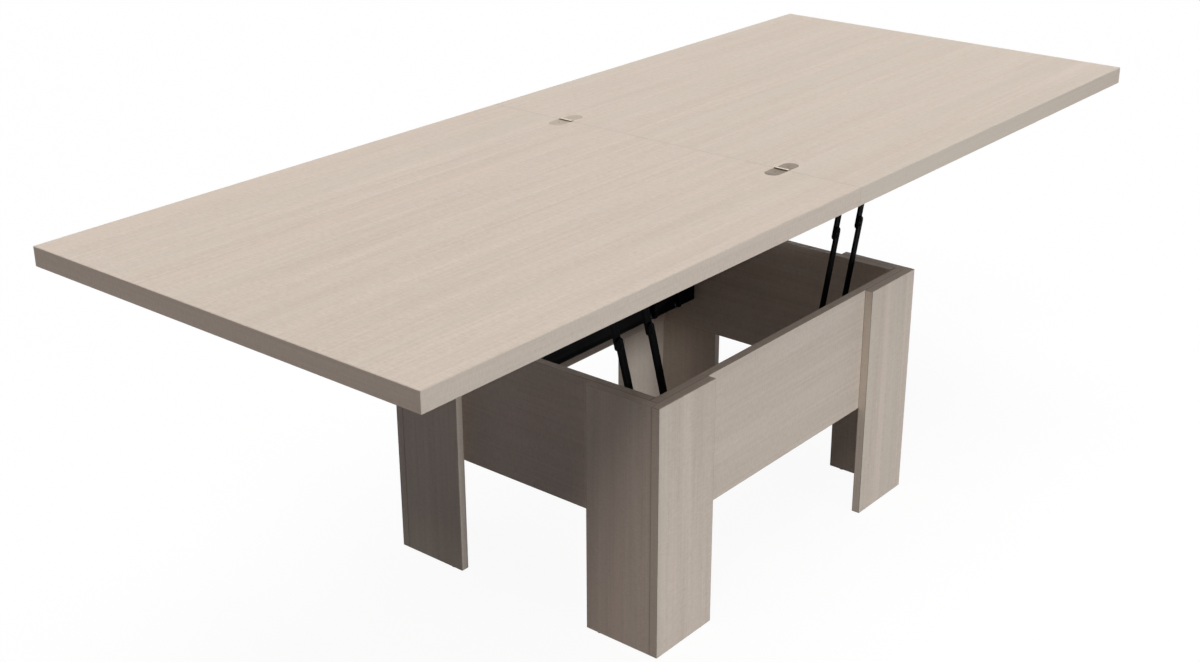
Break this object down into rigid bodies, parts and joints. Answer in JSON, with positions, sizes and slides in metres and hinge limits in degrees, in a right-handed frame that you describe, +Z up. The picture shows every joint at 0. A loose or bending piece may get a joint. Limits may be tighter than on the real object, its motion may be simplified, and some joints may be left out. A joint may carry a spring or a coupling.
{
  "type": "lift-up extending table",
  "caption": "Coffee table that rises to a dining table: swinging lift arms carry a top whose second leaf folds out flat on flush hinges, over an open base with corner board legs.",
  "frame": {"origin": "on the floor, under the middle of the base and of the opened top", "axes": "+X along the opened top from the fixed leaf to the folding leaf, +Y to the back, +Z up"},
  "size_m": [2, 0.8, 0.7427],
  "materials": {
    "top_laminate": "matt pale ash laminate, grain along the top",
    "base_laminate": "matt pale ash laminate, grain up the legs",
    "black_steel": "matt black powder coat",
    "zinc_steel": "satin zinc plate",
    "hinge_metal": "satin nickel with a warm grey tone",
    "black_plastic": "moulded black plastic",
    "beech": "plain beech dowel"
  },
  "bodies": {
    "base": {"leg_face_front_left": "base_laminate", "leg_side_front_left": "base_laminate", "leg_face_back_left": "base_laminate", "leg_side_back_left": "base_laminate", "leg_face_front_right": "base_laminate", "leg_side_front_right": "base_laminate", "leg_face_back_right": "base_laminate", "leg_side_back_right": "base_laminate", "leg_glides": "black_plastic", "apron_front": "base_laminate", "apron_back": "base_laminate", "apron_left": "base_laminate", "apron_right": "base_laminate", "frame_dowels": "beech", "apron_screws": "zinc_steel", "base_rail_front": "black_steel", "base_rail_back": "black_steel", "base_rail_screws": "zinc_steel", "stop_pins": "black_steel", "pivot_washers": "zinc_steel", "lift_lower_pins": "black_steel", "support_lower_pins": "black_steel"},
    "lift_arms_outer": {"lift_outer_lower_bar_front": "black_steel", "lift_outer_upper_bar_front": "black_steel", "lift_outer_lower_bar_back": "black_steel", "lift_outer_upper_bar_back": "black_steel", "lift_outer_rivets": "black_steel", "lift_tie_rod": "black_steel"},
    "lift_arms_inner": {"lift_inner_lower_bar_front": "black_steel", "lift_inner_upper_bar_front": "black_steel", "lift_inner_lower_bar_back": "black_steel", "lift_inner_upper_bar_back": "black_steel", "lift_inner_rivets": "black_steel"},
    "fixed_top": {"fixed_leaf": "top_laminate", "lift_angle_front": "black_steel", "lift_angle_back": "black_steel", "lift_angle_screws": "zinc_steel", "lift_upper_pins": "black_steel", "hinge_plates_fixed": "hinge_metal", "hinge_screws_fixed": "hinge_metal", "hinge_pins": "hinge_metal"},
    "folding_top": {"folding_leaf": "top_laminate", "hinge_plates_folding": "hinge_metal", "hinge_screws_folding": "hinge_metal"},
    "support_arms_outer": {"support_outer_lower_bar_front": "black_steel", "support_outer_upper_bar_front": "black_steel", "support_outer_lower_bar_back": "black_steel", "support_outer_upper_bar_back": "black_steel", "support_outer_rivets": "black_steel"},
    "support_arms_inner": {"support_inner_lower_bar_front": "black_steel", "support_inner_upper_bar_front": "black_steel", "support_inner_lower_bar_back": "black_steel", "support_inner_upper_bar_back": "black_steel", "support_inner_rivets": "black_steel"},
    "support_carriage": {"support_angle_front": "black_steel", "support_angle_back": "black_steel", "carriage_cross_bar_inner": "black_steel", "carriage_cross_bar_outer": "black_steel", "carriage_pads": "black_plastic", "support_upper_pins": "black_steel"}
  },
  "joints": [
    {"name": "lift_swing", "type": "hinge", "parent": "base", "child": "lift_arms_outer", "pos_m": [-0.30063, 0, 0.294], "axis": [0, 1, 0], "range_deg": [0, 84.65]},
    {"name": "lift_inner_swing", "type": "hinge", "parent": "base", "child": "lift_arms_inner", "pos_m": [-0.22063, 0, 0.294], "axis": [0, 1, 0], "range_deg": [0, 84.65]},
    {"name": "top_level", "type": "hinge", "parent": "lift_arms_outer", "child": "fixed_top", "pos_m": [-0.41393, 0, 0.693], "axis": [0, 1, 0], "range_deg": [-84.65, 0]},
    {"name": "support_swing", "type": "hinge", "parent": "base", "child": "support_arms_outer", "pos_m": [0.30063, 0, 0.294], "axis": [0, -1, 0], "range_deg": [0, 84.65]},
    {"name": "support_inner_swing", "type": "hinge", "parent": "base", "child": "support_arms_inner", "pos_m": [0.22063, 0, 0.294], "axis": [0, -1, 0], "range_deg": [0, 84.65]},
    {"name": "carriage_level", "type": "hinge", "parent": "support_arms_outer", "child": "support_carriage", "pos_m": [0.41393, 0, 0.693], "axis": [0, -1, 0], "range_deg": [-84.65, 0]},
    {"name": "leaf_fold", "type": "hinge", "parent": "fixed_top", "child": "folding_top", "pos_m": [0, 0, 0.7401], "axis": [0, -1, 0], "range_deg": [0, 180]}
  ],
  "couplings": [
    {"joint": "lift_inner_swing", "follows": "lift_swing", "ratio": 1},
    {"joint": "top_level", "follows": "lift_swing", "ratio": -1},
    {"joint": "support_swing", "follows": "lift_swing", "ratio": 1},
    {"joint": "support_inner_swing", "follows": "lift_swing", "ratio": 1},
    {"joint": "carriage_level", "follows": "lift_swing", "ratio": -1}
  ]
}
